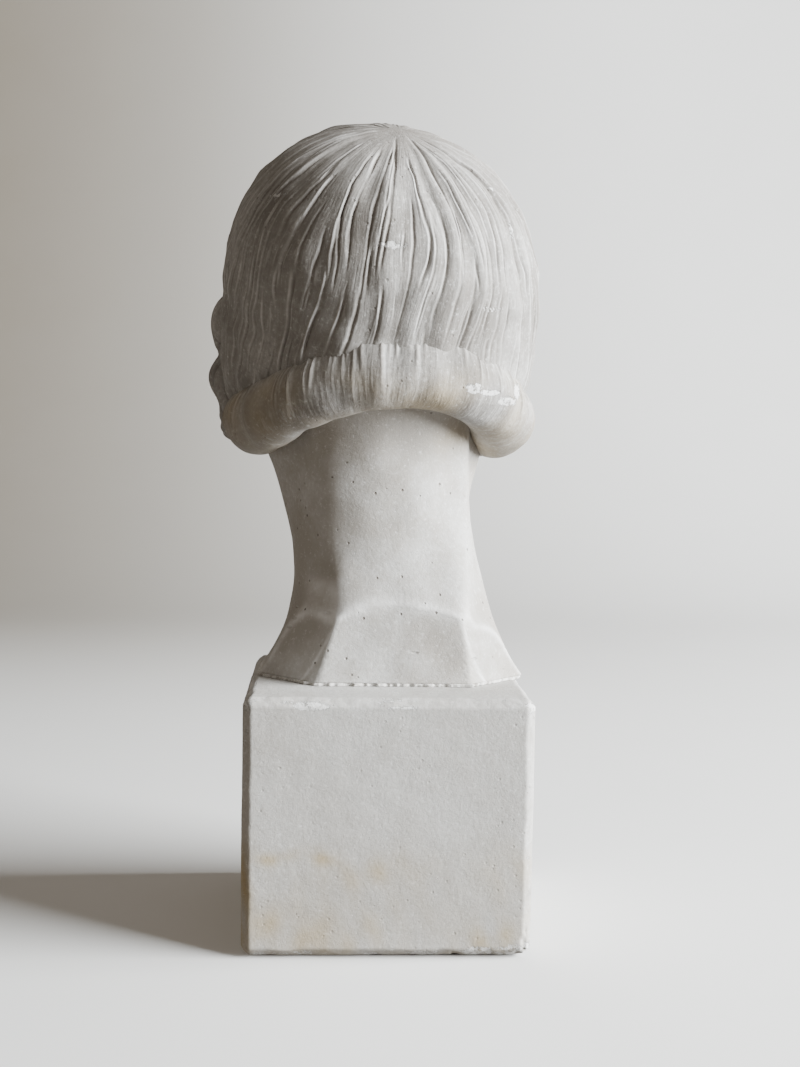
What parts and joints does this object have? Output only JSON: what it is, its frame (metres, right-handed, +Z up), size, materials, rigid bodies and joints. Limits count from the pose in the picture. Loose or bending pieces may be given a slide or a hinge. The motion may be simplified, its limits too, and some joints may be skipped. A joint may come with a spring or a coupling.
{
  "type": "portrait bust on block plinth",
  "caption": "Life-size cast bust of a youth with combed hair rolled under at the nape, its facet-footed neck bedded on a chamfered square plinth and held by a threaded rod.",
  "frame": {"origin": "centre of the felt's underside, the surface that the bust stands on", "axes": "+Z up, -Y the way the chest would face, +X towards the bust's own left"},
  "size_m": [0.1797, 0.2147, 0.4382],
  "materials": {
    "cast_plaster": "matte",
    "plinth_plaster": "matte",
    "fresh_plaster": "matte",
    "zinc_steel": "satin",
    "felt": "matte"
  },
  "bodies": {
    "root": {"head_and_neck": "cast_plaster", "plinth": "plinth_plaster", "bedding_plaster": "fresh_plaster", "rod_grout": "fresh_plaster", "mounting_rod": "zinc_steel", "anchor_nut": "zinc_steel", "clamp_washer": "zinc_steel", "clamp_nut": "zinc_steel", "felt_base": "felt"}
  },
  "joints": []
}
